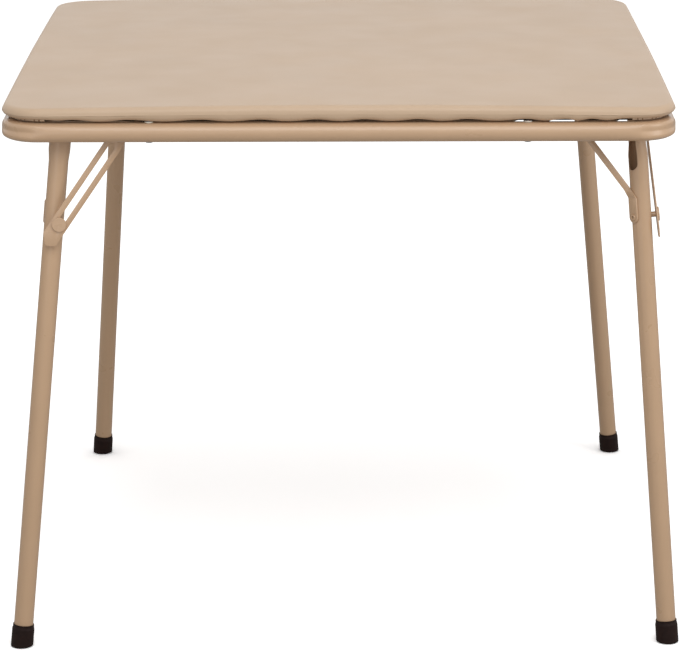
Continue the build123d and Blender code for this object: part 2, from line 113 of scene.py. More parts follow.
class CardTableSizes(bpy.types.PropertyGroup):
    """Sizes of the dressed pieces."""

    corner_radius: length(52, "Pad corner radius", "Round of the top's corners seen from above")
    crown: length(5, "Crown", "How much higher the middle of the top is than its edge")
    top_roll: length(9, "Top roll", "Radius of the roll from the top to the side")
    bottom_roll: length(8, "Bottom roll", "Radius of the roll from the side to the hem")
    hem_reach: length(35, "Hem reach", "How far the hem runs in under the board from the side")
    hem_rise: length(1.2, "Hem rise", "How much higher the lower edge lies than the hem")
    hem_wave: length(1.1, "Hem wave", "Rise and fall of the lower edge between two staples")
    hem_sag: length(3.5, "Hem sag", "How far the hem hangs down behind the top of the rail")
    staple_spacing: length(38, "Staple spacing", "Distance between two staples along the hem")
    staple_width: length(10, "Staple width", "Crown width of a staple")
    staple_wire: length(1.1, "Staple wire", "Thickness of the staple wire")
    edge_round: length(0.35, "Sheet edge", "Round on the edges of the pressed steel parts")
    rail_bend: length(38, "Rail bend", "Bend radius of the rail on its middle line")
    bend_dent: length(3.4, "Bend dent", "How far the press dents the outer wall of a bend")
    bend_ridge: length(0.7, "Bend ridge", "Rise of the wall above and below the dent")
    dent_tilt: angle(7, "Dent tilt", "Height of the dent on the wall, as an angle")
    weld_drop: length(1.5, "Weld drop", "Radius of one drop of a weld bead")
    vinyl_grain: length(1.1, "Vinyl grain", "Distance between two pebbles of the embossed grain")
    paint_ripple: length(2.2, "Paint ripple", "Distance between two ripples of the powder coat")


class CardTableColours(bpy.types.PropertyGroup):
    """Colours of the finishes."""

    vinyl: hex_colour("#C4A98D", "Vinyl", "Upholstery of the top")
    paint: hex_colour("#C5A484", "Paint", "Powder coat of the steel")
    rubber: hex_colour("#1C0D09", "Rubber", "Foot caps")
    board: hex_colour("#7A5638", "Hardboard", "Panel under the top")
    steel: hex_colour("#B9BBBD", "Steel", "Screws and staples")
    washer: hex_colour("#D8D2C4", "Washer", "Spacers between the rail and the hem")
    floor: hex_colour("#BDBBB8", "Floor", "Studio floor as light sees it")


class CardTableCamera(bpy.types.PropertyGroup):
    """Where the photograph was taken from."""

    lens: bpy.props.FloatProperty(
        name="Lens", description="Focal length on a 36 mm sensor", default=171.12, unit="CAMERA"
    )
    distance: length(4432.9, "Distance", "From the middle of the table to the camera, on plan")
    sideways: length(-2.07, "Sideways", "Shift of the camera to its right")
    height: length(1508.2, "Height", "Height of the camera above the floor")
    pitch: angle(14.994, "Pitch", "Downward tilt")
    roll: angle(0.218, "Roll", "Clockwise roll")
    yaw: angle(0.355, "Yaw", "Turn round the table")


def add_node(tree, kind, inputs=None, **settings):
    """Adds a node with its settings, and sets or links its inputs by name or number."""
    made = tree.nodes.new(kind)
    for name, value in settings.items():
        setattr(made, name, value)
    for name, value in (inputs or {}).items():
        if isinstance(value, bpy.types.NodeSocket):
            tree.links.new(value, made.inputs[name])
        else:
            made.inputs[name].default_value = value
    return made


def new_material(name):
    """An empty node material and its tree."""
    material = bpy.data.materials.new(name)
    material.use_nodes = True
    material.node_tree.nodes.clear()
    return material, material.node_tree


def close_material(tree, shader):
    """Links the shader to the material's output."""
    add_node(tree, "ShaderNodeOutputMaterial", {"Surface": shader.outputs[0]})


def object_place(tree):
    """The Object coordinate socket, in metres."""
    return add_node(tree, "ShaderNodeTexCoord").outputs["Object"]


def per_metre(spacing):
    """Scale of a pattern whose cells stand that far apart."""
    return 1 / spacing


def varied_colour(tree, place, colour, spacing, share):
    """The colour with soft cloudy patches of that spacing, lighter and darker by a share."""
    clouds = add_node(
        tree, "ShaderNodeTexNoise", {"Vector": place, "Scale": per_metre(spacing), "Detail": 3.0}
    )
    level = add_node(
        tree, "ShaderNodeMapRange",
        {"Value": clouds.outputs["Fac"], **NOISE_RANGE,
         "To Min": 1 - share, "To Max": 1 + share},
    )
    return add_node(
        tree, "ShaderNodeMix",
        {"Factor": 1.0, "A": colour, "B": level.outputs[0]},
        data_type="RGBA", blend_type="MULTIPLY",
    ).outputs["Result"]


def varied_roughness(tree, place, low, high, spacing):
    """Roughness that drifts between two values, in patches of that spacing."""
    drift = add_node(
        tree, "ShaderNodeTexNoise", {"Vector": place, "Scale": per_metre(spacing), "Detail": 2.0}
    )
    return add_node(
        tree, "ShaderNodeMapRange",
        {"Value": drift.outputs["Fac"], **NOISE_RANGE, "To Min": low, "To Max": high},
    ).outputs[0]


def pressed_vinyl(colour, grain):
    """PVC upholstery vinyl, calendered and embossed: a satin skin with a fine pebbled grain,
    broad cloudy tone, and a pale sheen where it lies at a low angle to the light. The creases
    among the pebbles are drawn six grains wide, so that they show."""
    material, tree = new_material("embossed_pvc_vinyl")
    place = object_place(tree)
    pebbles = add_node(
        tree, "ShaderNodeTexVoronoi",
        {"Vector": place, "Scale": per_metre(grain), "Smoothness": 0.5}, feature="SMOOTH_F1",
    )
    creases = add_node(
        tree, "ShaderNodeTexNoise",
        {"Vector": place, "Scale": per_metre(grain * 6), "Detail": 4.0, "Roughness": 0.6},
    )
    relief = add_node(
        tree, "ShaderNodeMath",
        {0: pebbles.outputs["Distance"], 1: creases.outputs["Fac"]}, operation="ADD",
    )
    bump = add_node(
        tree, "ShaderNodeBump",
        {"Strength": 0.35, "Distance": 0.12 * MM, "Height": relief.outputs[0]},
    )
    shader = add_node(
        tree, "ShaderNodeBsdfPrincipled",
        {"Base Color": varied_colour(tree, place, colour, spacing=110 * MM, share=0.022),
         "Roughness": varied_roughness(tree, place, 0.40, 0.48, spacing=70 * MM),
         "IOR": 1.52, "Sheen Weight": 0.08, "Sheen Roughness": 0.4,
         "Normal": bump.outputs[0]},
    )
    close_material(tree, shader)
    return material


def powder_coat(colour, ripple):
    """Satin polyester powder coat baked on steel: an even tan skin with a faint orange peel,
    soft long highlights along the tubes, and a little drift in its gloss."""
    material, tree = new_material("satin_powder_coat")
    place = object_place(tree)
    peel = add_node(
        tree, "ShaderNodeTexNoise",
        {"Vector": place, "Scale": per_metre(ripple), "Detail": 2.0, "Roughness": 0.4},
    )
    bump = add_node(
        tree, "ShaderNodeBump",
        {"Strength": 0.25, "Distance": 0.08 * MM, "Height": peel.outputs["Fac"]},
    )
    shader = add_node(
        tree, "ShaderNodeBsdfPrincipled",
        {"Base Color": varied_colour(tree, place, colour, spacing=60 * MM, share=0.015),
         "Roughness": varied_roughness(tree, place, 0.27, 0.34, spacing=30 * MM),
         "IOR": 1.5, "Coat Weight": 0.15, "Coat Roughness": 0.2,
         "Normal": bump.outputs[0]},
    )
    close_material(tree, shader)
    return material


def moulded_rubber(colour):
    """Moulded dark brown rubber: matt, with a fine bloom and scuffs. The real scuffs are finer
    than 1.6 mm, and are drawn that coarse so that they show."""
    material, tree = new_material("moulded_rubber")
    place = object_place(tree)
    scuffs = add_node(
        tree, "ShaderNodeTexNoise",
        {"Vector": place, "Scale": per_metre(1.6 * MM), "Detail": 5.0, "Roughness": 0.7},
    )
    bump = add_node(
        tree, "ShaderNodeBump",
        {"Strength": 0.3, "Distance": 0.1 * MM, "Height": scuffs.outputs["Fac"]},
    )
    shader = add_node(
        tree, "ShaderNodeBsdfPrincipled",
        {"Base Color": varied_colour(tree, place, colour, spacing=8 * MM, share=0.25),
         "Roughness": varied_roughness(tree, place, 0.55, 0.7, spacing=6 * MM),
         "IOR": 1.5, "Specular IOR Level": 0.18, "Normal": bump.outputs[0]},
    )
    close_material(tree, shader)
    return material


def pressed_hardboard(colour):
    """Hardboard, wood fibre pressed wet on a wire screen: brown, matt, with short fibres and
    the square mesh that the screen leaves on its back. A real screen has a wire each 2 to
    3 mm, and its print is drawn as coarse as 16 mm so that it shows."""
    material, tree = new_material("screen_back_hardboard")
    place = object_place(tree)
    fibres = add_node(
        tree, "ShaderNodeTexNoise",
        {"Vector": place, "Scale": per_metre(4 * MM), "Detail": 6.0, "Roughness": 0.75},
    )
    across, along = [
        add_node(
            tree, "ShaderNodeTexWave",
            {"Vector": place, "Scale": WAVE_PERIOD * per_metre(15.9187 * MM)},
            wave_type="BANDS", bands_direction=direction,
        )
        for direction in "XY"
    ]
    mesh_print = add_node(
        tree, "ShaderNodeMath",
        {0: across.outputs["Fac"], 1: along.outputs["Fac"]}, operation="MULTIPLY",
    )
    relief = add_node(
        tree, "ShaderNodeMath",
        {0: mesh_print.outputs[0], 1: fibres.outputs["Fac"]}, operation="ADD",
    )
    bump = add_node(
        tree, "ShaderNodeBump",
        {"Strength": 0.5, "Distance": 0.3 * MM, "Height": relief.outputs[0]},
    )
    shader = add_node(
        tree, "ShaderNodeBsdfPrincipled",
        {"Base Color": varied_colour(tree, place, colour, spacing=5 * MM, share=0.16),
         "Roughness": 0.85, "IOR": 1.45, "Normal": bump.outputs[0]},
    )
    close_material(tree, shader)
    return material


def plated_steel(name, colour, low, high):
    """Zinc plated steel: pale grey metal, dulled in small spangled patches, whose roughness
    lies between low and high."""
    material, tree = new_material(name)
    place = object_place(tree)
    spangle = add_node(
        tree, "ShaderNodeTexVoronoi", {"Vector": place, "Scale": per_metre(1.2 * MM)}
    )
    bump = add_node(
        tree, "ShaderNodeBump",
        {"Strength": 0.15, "Distance": 0.05 * MM, "Height": spangle.outputs["Distance"]},
    )
    shader = add_node(
        tree, "ShaderNodeBsdfPrincipled",
        {"Base Color": varied_colour(tree, place, colour, spacing=2 * MM, share=0.06),
         "Metallic": 1.0,
         "Roughness": varied_roughness(tree, place, low, high, spacing=2 * MM),
         "Normal": bump.outputs[0]},
    )
    close_material(tree, shader)
    return material


def moulded_nylon(colour):
    """Moulded nylon spacer: off white, waxy and slightly translucent at its rim."""
    material, tree = new_material("moulded_nylon")
    place = object_place(tree)
    shader = add_node(
        tree, "ShaderNodeBsdfPrincipled",
        {"Base Color": varied_colour(tree, place, colour, spacing=4 * MM, share=0.03),
         "Roughness": varied_roughness(tree, place, 0.45, 0.6, spacing=3 * MM),
         "IOR": 1.53, "Subsurface Weight": 0.1, "Subsurface Scale": 2 * MM},
    )
    close_material(tree, shader)
    return material


def give(piece, material):
    """The piece shows only this material."""
    piece.data.materials.clear()
    piece.data.materials.append(material)
    for polygon in piece.data.polygons:
        polygon.material_index = 0


def find_material(name):
    """A material that an earlier step made."""
    return bpy.data.materials[name]


def finish_node(node, material_name):
    """A CAD node shown as it is, with its finish."""
    give(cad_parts[node], find_material(material_name))


def outline(half, radius, side_steps, corner_steps):
    """Points round a square with round corners, anticlockwise from the left end of the front."""
    straight = half - radius
    points = []
    for side in range(SIDE_COUNT):
        turn = Matrix.Rotation(side * QUARTER_TURN, 2)
        for step in range(side_steps):
            along = straight * (2 * step / side_steps - 1)
            points.append(turn @ Vector((along, -half)))
        for step in range(corner_steps):
            angle = QUARTER_TURN * step / corner_steps
            arc = Vector((math.sin(angle), -math.cos(angle))) * radius
            points.append(turn @ (Vector((straight, -straight)) + arc))
    return points


def smooth(low, high, value):
    """Smooth step from 0 at low to 1 at high."""
    share = min(1.0, max(0.0, (value - low) / (high - low)))
    return share * share * (3 - 2 * share)


class PadTop:
    """The padded top's form: crown, rolls, hem, and the pocket that the board lies in."""

    side_steps = 150
    corner_steps = 16
    roll_steps = 8
    side_levels = 3
    top_rings = 56
    # How much the rings of the top crowd towards its edge
    ring_crowding = 1.25
    # Fuller patch at the back right: its middle, reach and rise
    swell_middle = (0.27, 0.40)
    swell_reach = 0.15
    swell_rise = 3.5 * MM
    # Waves of the top's surface: rise, waves per metre, and layer of the noise
    top_waves = ((0.4 * MM, 8, 0), (0.12 * MM, 25, 3))
    side_fullness = 0.3 * MM

    # Along a side, all in millimetres from its middle. Where the lower edge rises between two
    # staples along the front, as the photograph shows, and where it stands clear of the rail:
    # middle and reach
    front_crests = (-388, -337, -266, -175, -99, -27, 33, 101, 163, 238, 287, 320, 364, 410)
    front_openings = ((235, 8), (287, 18), (364, 9))
    # The crests of the other sides: outer limit, shift of the first one, and gap to the next
    crest_limit = 400
    crest_shift = 40
    crest_gap = (56, 84)
    # The waves give way to an even lift towards a corner
    corner_fade = (330, 385)
    corner_lift = 1.5
    end_lift = 0.6
    screw_reach = 240
    washer_reach = 5.5
    # Stretch of each side that lies over its bracket
    bracket_span = (-364, -265)
    # Lengths over which the hem starts or stops hanging
    hang_fade = 3
    opening_fade = (-2, 3)

    # Inwards from the side. Where the hem stops lying on the washers
    washer_inset = 16.5 * MM
    # Where the hem hangs lowest and where it is back up, and where the corner's pleats begin
    sag_peak = 18 * MM
    sag_return = (18.5 * MM, 26 * MM)
    pleat_start = (19 * MM, 27 * MM)
    # Rows of the hem, in millimetres
    hem_insets = (8.8, 9.8, 10.8, 12, 13.4, 14.8, 16.2, 18,
                  19.8, 21.6, 23.4, 25.6, 28, 30.5, 32.5, 34.4)
    # How far past the rail's middle line the waves of the edge die out
    wave_run_out = 1 * MM
    pleat_depth = 0.9 * MM
    pleat_waves = 7
    cut_edge = 0.3 * MM

    def __init__(self, sizes):
        self.sizes = sizes
        self.half = (PAD_HIGH.x - PAD_LOW.x) / 2
        self.bottom = PAD_LOW.z
        self.crown_top = PAD_HIGH.z
        draw = random.Random(7)
        self.crests = [list(self.front_crests)]
        for _ in range(SIDE_COUNT - 1):
            place = -self.crest_limit + draw.uniform(0, self.crest_shift)
            row = [place]
            while place < self.crest_limit:
                place += draw.uniform(*self.crest_gap)
                row.append(place)
            self.crests.append(row)

    def top_height(self, x, y):
        """Height of the top's surface, crowned, faintly wavy and fuller at the back right."""
        crown = self.sizes.crown * (x * x + y * y) / self.half ** 2
        swell_x, swell_y = self.swell_middle
        away = ((x - swell_x) ** 2 + (y - swell_y) ** 2) / self.swell_reach ** 2
        height = self.crown_top - crown + self.swell_rise * math.exp(-away)
        for rise, count, layer in self.top_waves:
            height += rise * noise.noise(Vector((x, y, layer)) * count)
        return height

    def place_on_side(self, index):
        """Side number, place along the side in millimetres, and share round its corner."""
        per_side = self.side_steps + self.corner_steps
        side, step = divmod(index, per_side)
        straight = (self.half - self.sizes.corner_radius) / MM
        if step < self.side_steps:
            return side, straight * (2 * step / self.side_steps - 1), 0.0
        share = (step - self.side_steps) / self.corner_steps
        return side, straight, share

    def edge_lift(self, side, along, corner):
        """Rise of the lower edge above its mean, in hem waves: 1 is a crest, -1 a hollow."""
        row = self.crests[side]
        inner = [c for c in row if c <= along]
        outer = [c for c in row if c > along]
        if not inner or not outer:
            return self.end_lift
        share = (along - inner[-1]) / (outer[0] - inner[-1])
        wave = math.cos(2 * math.pi * share)
        near_corner = smooth(*self.corner_fade, abs(along)) if not corner else 1.0
        return wave * (1 - near_corner) + near_corner * self.corner_lift

    def hang(self, side, along):
        """How far the hem hangs behind the rail, from 0 where it stands clear of it to 1."""
        low, high = self.bracket_span
        past_low = smooth(low - self.hang_fade, low, along)
        past_high = smooth(high, high + self.hang_fade, along)
        level = 1 - past_low * (1 - past_high)
        if side == 0:
            fade_in, fade_out = self.opening_fade
            for middle, reach in self.front_openings:
                away = abs(along - middle)
                level = min(level, smooth(reach + fade_in, reach + fade_out, away))
        return level

    def beside_washer(self, along, inset):
        """0 over a washer, where the hem lies flat, and 1 away from it or behind it."""
        if inset > self.washer_inset:
            return 1.0
        away = abs(abs(along) - self.screw_reach)
        return smooth(self.washer_reach, self.washer_reach + self.hang_fade, away)

    def drawn_in(self, inset):
        """The top's outline, drawn in by an inset."""
        radius = self.sizes.corner_radius - inset
        return outline(self.half - inset, radius, self.side_steps, self.corner_steps)

    def rings(self):
        """Rings of points from the middle of the top, over the edge and under to the pocket."""
        s = self.sizes
        made = []
        roll_edge = self.drawn_in(s.top_roll)
        for ring in range(1, self.top_rings + 1):
            share = 1 - (1 - ring / self.top_rings) ** self.ring_crowding
            made.append([
                Vector((p.x * share, p.y * share, self.top_height(p.x * share, p.y * share)))
                for p in roll_edge
            ])
        edge_heights = [self.top_height(p.x, p.y) for p in roll_edge]
        places = [self.place_on_side(i) for i in range(len(roll_edge))]
        lifts = [s.hem_rise + self.edge_lift(*place) * s.hem_wave for place in places]
        hangs = [self.hang(side, along) * s.hem_sag for side, along, _ in places]
        # Roll from the top to the side
        for step in range(1, self.roll_steps + 1):
            angle = QUARTER_TURN * step / self.roll_steps
            flat = self.drawn_in(s.top_roll * (1 - math.sin(angle)))
            drop = s.top_roll * (1 - math.cos(angle))
            made.append([Vector((p.x, p.y, z - drop)) for p, z in zip(flat, edge_heights)])
        # Side, very slightly full
        side_bottom = self.bottom + s.bottom_roll
        for level in range(1, self.side_levels):
            share = level / self.side_levels
            flat = self.drawn_in(-self.side_fullness * math.sin(math.pi * share))
            row = []
            for p, z, lift in zip(flat, edge_heights, lifts):
                low = side_bottom + lift * share / 2
                row.append(Vector((p.x, p.y, (z - s.top_roll) * (1 - share) + low * share)))
            made.append(row)
        # Roll from the side to the hem
        for step in range(self.roll_steps + 1):
            angle = QUARTER_TURN * step / self.roll_steps
            flat = self.drawn_in(s.bottom_roll * (1 - math.cos(angle)))
            drop = s.bottom_roll * math.sin(angle)
            raised = 0.5 + 0.5 * math.sin(angle)
            made.append([
                Vector((p.x, p.y, side_bottom - drop + lift * raised))
                for p, lift in zip(flat, lifts)
            ])
        # Hem under the board, hanging behind the top of the rail, with pleats round the corners
        rail_line = self.half - (RAIL_HIGH.x - (RAIL_HIGH.z - RAIL_LOW.z) / 2)
        for inset in [value * MM for value in self.hem_insets]:
            flat = self.drawn_in(inset)
            fade = 1 - smooth(s.bottom_roll, rail_line + self.wave_run_out, inset)
            droop = smooth(rail_line, self.sag_peak, inset)
            droop *= 1 - smooth(*self.sag_return, inset)
            row = []
            for p, lift, sag, (_, along, corner) in zip(flat, lifts, hangs, places):
                sag *= self.beside_washer(along, inset)
                pleat = 0.0
                if corner:
                    folds = max(0.0, math.sin(corner * math.pi * self.pleat_waves))
                    pleat = self.pleat_depth * math.sin(math.pi * corner) * folds
                    pleat *= smooth(*self.pleat_start, inset)
                row.append(Vector((p.x, p.y, self.bottom + lift * fade - sag * droop - pleat)))
            made.append(row)
        # Cut edge of the hem, then the pocket round the board
        hem_edge = self.drawn_in(s.hem_reach)
        made.append([Vector((p.x, p.y, (self.bottom + BOARD_LOW.z) / 2)) for p in hem_edge])
        fold_edge = self.drawn_in(s.hem_reach - self.cut_edge)
        made.append([Vector((p.x, p.y, BOARD_LOW.z)) for p in fold_edge])
        board_half = (BOARD_HIGH.x - BOARD_LOW.x) / 2
        board_radius = s.corner_radius * board_half / self.half
        pocket = outline(board_half, board_radius, self.side_steps, self.corner_steps)
        made.append([Vector((p.x, p.y, BOARD_LOW.z)) for p in pocket])
        made.append([Vector((p.x, p.y, BOARD_HIGH.z)) for p in pocket])
        return made


def finished_mesh(name, shape):
    """The worked shape as a mesh of that name."""
    mesh = bpy.data.meshes.new(name)
    shape.to_mesh(mesh)
    shape.free()
    return mesh


def mesh_of_rings(name, rings, first_pole, last_pole):
    """A closed mesh through rings of points, with a pole at each end."""
    shape = bmesh.new()
    rows = [[shape.verts.new(p) for p in ring] for ring in rings]
    start = shape.verts.new(first_pole)
    end = shape.verts.new(last_pole)
    count = len(rows[0])
    for i in range(count):
        j = (i + 1) % count
        shape.faces.new((start, rows[0][i], rows[0][j]))
        shape.faces.new((end, rows[-1][j], rows[-1][i]))
        for near, far in zip(rows, rows[1:]):
            shape.faces.new((near[i], far[i], far[j], near[j]))
    return finished_mesh(name, shape)


def mesh_of_loop(name, rings):
    """A closed mesh through rings of points that follow one another round a loop."""
    shape = bmesh.new()
    rows = [[shape.verts.new(p) for p in ring] for ring in rings]
    count = len(rows[0])
    for near, far in zip(rows, rows[1:] + rows[:1]):
        for i in range(count):
            j = (i + 1) % count
            shape.faces.new((near[i], far[i], far[j], near[j]))
    return finished_mesh(name, shape)


class BentRail:
    """The rail's form: a round tube whose outer wall is pressed in where it is bent."""

    straight_steps = 12
    bend_steps = 28
    round_steps = 48
    # As shares of the bend: reach of the press past each end of it, and run-in to full depth
    press_run_out = 0.22
    press_run_in = 0.2
    # Round the tube, in radians: width of the dent, and middle and width of its two ridges
    dent_width = 0.46
    ridge_middle = 0.76
    ridge_width = 0.24

    def __init__(self, sizes):
        self.sizes = sizes
        self.radius = (RAIL_HIGH.z - RAIL_LOW.z) / 2
        self.half = RAIL_HIGH.x - self.radius
        self.height = (RAIL_HIGH.z + RAIL_LOW.z) / 2

    def section(self, middle, outward, share):
        """One ring of the tube; share runs from 0 to 1 round its bend."""
        pressed_in = smooth(-self.press_run_out, self.press_run_in, share)
        let_out = smooth(1 - self.press_run_in, 1 + self.press_run_out, share)
        pressed = pressed_in * (1 - let_out)
        ring = []
        for step in range(self.round_steps):
            angle = 2 * math.pi * step / self.round_steps
            off = math.remainder(angle - self.sizes.dent_tilt, 2 * math.pi)
            off_ridge = (abs(off) - self.ridge_middle) / self.ridge_width
            dent = self.sizes.bend_dent * math.exp(-((off / self.dent_width) ** 2))
            ridge = self.sizes.bend_ridge * math.exp(-(off_ridge ** 2))
            reach = self.radius - pressed * (dent - ridge)
            upward = Vector((0, 0, math.sin(angle) * reach))
            ring.append(middle + outward * (math.cos(angle) * reach) + upward)
        return ring

    def rings(self):
        """Sections along the four straight runs and round the four bends."""
        bend = self.sizes.rail_bend
        straight = self.half - bend
        quarter = bend * QUARTER_TURN
        made = []
        for side in range(SIDE_COUNT):
            turn = Matrix.Rotation(side * QUARTER_TURN, 3, "Z")
            for step in range(self.straight_steps):
                # Stations crowd towards the bends, where the press runs out
                spread = math.cos(math.pi * step / self.straight_steps)
                along = -straight * spread
                share = (abs(along) - straight) / quarter
                middle = Vector((along, -self.half, self.height))
                made.append(self.section(turn @ middle, turn @ Vector((0, -1, 0)), share))
            for step in range(self.bend_steps):
                share = step / self.bend_steps
                angle = QUARTER_TURN * share
                outward = Vector((math.sin(angle), -math.cos(angle), 0))
                middle = Vector((straight, -straight, self.height)) + outward * bend
                made.append(self.section(turn @ middle, turn @ outward, share))
        return made


def link_piece(name, mesh, body, material):
    """Puts a finished mesh in the scene, on its body, with its finish."""
    piece = bpy.data.objects.new(name, mesh)
    bpy.context.scene.collection.objects.link(piece)
    give(piece, material)
    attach(piece, body)
    return piece


def rounded_copy(node, edge_round):
    """A copy of a CAD node's mesh, merged, with its sharp edges rounded over."""
    shape = bmesh.new()
    shape.from_mesh(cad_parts[node].data)
    bmesh.ops.remove_doubles(shape, verts=shape.verts, dist=MERGE_GAP)
    bmesh.ops.dissolve_limit(
        shape, angle_limit=FLAT_ANGLE, verts=shape.verts, edges=shape.edges
    )
    sharp = [
        e for e in shape.edges if len(e.link_faces) == 2 and e.calc_face_angle() > SHARP_ANGLE
    ]
    bmesh.ops.bevel(
        shape, geom=sharp, offset=edge_round, segments=2, profile=0.5,
        affect="EDGES", clamp_overlap=True,
    )
    mesh = finished_mesh(node + "_rounded", shape)
    mesh.shade_smooth()
    mesh.set_sharp_from_angle(angle=CREASE_ANGLE)
    return mesh


def dress(node, body, material, edge_round):
    """Puts a rounded copy in the place of a CAD node."""
    mesh = rounded_copy(node, edge_round)
    piece = link_piece(node + "_rounded", mesh, body, material)
    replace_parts(piece, node)


def socket_identifiers(tree):
    """Identifier of each input of a geometry tree, by its name."""
    return {
        item.name: item.identifier
        for item in tree.interface.items_tree
        if item.item_type == "SOCKET" and item.in_out == "INPUT"
    }


def geometry_tree(name, inputs):
    """A geometry tree with its named inputs, its group input and its group output."""
    tree = bpy.data.node_groups.new(name, "GeometryNodeTree")
    for label, kind in inputs:
        tree.interface.new_socket(label, in_out="INPUT", socket_type=kind)
    tree.interface.new_socket("Geometry", in_out="OUTPUT", socket_type="NodeSocketGeometry")
    return tree, add_node(tree, "NodeGroupInput"), add_node(tree, "NodeGroupOutput")


def grown_mesh(name, tree, values):
    """The plain mesh that a geometry tree makes from these values."""
    carrier = bpy.data.objects.new(name, bpy.data.meshes.new(name))
    bpy.context.scene.collection.objects.link(carrier)
    modifier = carrier.modifiers.new(name, "NODES")
    modifier.node_group = tree
    identifiers = socket_identifiers(tree)
    for label, value in values.items():
        modifier[identifiers[label]] = value
    bpy.context.view_layer.update()
    evaluated = carrier.evaluated_get(bpy.context.evaluated_depsgraph_get())
    mesh = bpy.data.meshes.new_from_object(evaluated)
    bpy.data.objects.remove(carrier)
    return mesh


def staple_tree(material):
    """Staples along a square path with round corners, each one a little askew."""
    tree, given, made = geometry_tree("staples_along_hem", (
        ("Path Width", "NodeSocketFloat"), ("Corner Radius", "NodeSocketFloat"),
        ("Height", "NodeSocketFloat"), ("Spacing", "NodeSocketFloat"),
        ("Staple Width", "NodeSocketFloat"), ("Wire", "NodeSocketFloat"),
        ("Askew", "NodeSocketFloat"), ("Seed", "NodeSocketInt"),
    ))
    square = add_node(
        tree, "GeometryNodeCurvePrimitiveQuadrilateral",
        {"Width": given.outputs["Path Width"], "Height": given.outputs["Path Width"]},
    )
    rounded = add_node(
        tree, "GeometryNodeFilletCurve",
        {"Curve": square.outputs[0], "Count": 6, "Radius": given.outputs["Corner Radius"]},
        mode="POLY",
    )
    spaced = add_node(
        tree, "GeometryNodeResampleCurve",
        {"Curve": rounded.outputs[0], "Length": given.outputs["Spacing"]}, mode="LENGTH",
    )
    half_width = add_node(
        tree, "ShaderNodeMath", {0: given.outputs["Staple Width"], 1: 0.5}, operation="MULTIPLY"
    )
    left = add_node(
        tree, "ShaderNodeMath", {0: half_width.outputs[0], 1: -1.0}, operation="MULTIPLY"
    )
    leg_length = add_node(
        tree, "ShaderNodeMath", {0: half_width.outputs[0], 1: 0.5}, operation="MULTIPLY"
    )
    # Bar of the staple with its two short legs, as three wires end to end
    raised = {"Z": leg_length.outputs[0]}
    ends = [
        add_node(tree, "ShaderNodeCombineXYZ", {"X": across.outputs[0], **height})
        for across, height in ((left, raised), (left, {}), (half_width, {}), (half_width, raised))
    ]
    wires = [
        add_node(
            tree, "GeometryNodeCurvePrimitiveLine",
            {"Start": start.outputs[0], "End": end.outputs[0]},
        )
        for start, end in zip(ends, ends[1:])
    ]
    joined = add_node(tree, "GeometryNodeJoinGeometry")
    for wire in reversed(wires):
        tree.links.new(wire.outputs[0], joined.inputs[0])
    flat_wire = add_node(
        tree, "GeometryNodeCurvePrimitiveQuadrilateral",
        {"Width": given.outputs["Wire"], "Height": given.outputs["Wire"]},
    )
    softened = add_node(
        tree, "GeometryNodeFilletCurve",
        {"Curve": flat_wire.outputs[0], "Count": 2, "Radius": 0.3 * MM}, mode="POLY",
    )
    body = add_node(
        tree, "GeometryNodeCurveToMesh",
        {"Curve": joined.outputs[0], "Profile Curve": softened.outputs[0], "Fill Caps": True},
    )
    direction = add_node(
        tree, "FunctionNodeAlignEulerToVector",
        {"Vector": add_node(tree, "GeometryNodeInputTangent").outputs[0]}, axis="X",
    )
    other_way = add_node(
        tree, "ShaderNodeMath", {0: given.outputs["Askew"], 1: -1.0}, operation="MULTIPLY"
    )
    slant = add_node(
        tree, "FunctionNodeRandomValue",
        {"Min": other_way.outputs[0], "Max": given.outputs["Askew"],
         "Seed": given.outputs["Seed"]},
        data_type="FLOAT",
    )
    tilt = add_node(tree, "ShaderNodeCombineXYZ", {"Z": slant.outputs[1]})
    turned = add_node(
        tree, "FunctionNodeRotateEuler",
        {"Rotation": direction.outputs[0], "Rotate By": tilt.outputs[0]},
        space="LOCAL",
    )
    placed = add_node(
        tree, "GeometryNodeInstanceOnPoints",
        {"Points": spaced.outputs[0], "Instance": body.outputs[0], "Rotation": turned.outputs[0]},
    )
    lift = add_node(tree, "ShaderNodeCombineXYZ", {"Z": given.outputs["Height"]})
    lifted = add_node(
        tree, "GeometryNodeTransform",
        {"Geometry": placed.outputs[0], "Translation": lift.outputs[0]},
    )
    real = add_node(tree, "GeometryNodeRealizeInstances", {"Geometry": lifted.outputs[0]})
    finished = add_node(
        tree, "GeometryNodeSetMaterial", {"Geometry": real.outputs[0], "Material": material}
    )
    tree.links.new(finished.outputs[0], made.inputs[0])
    return tree


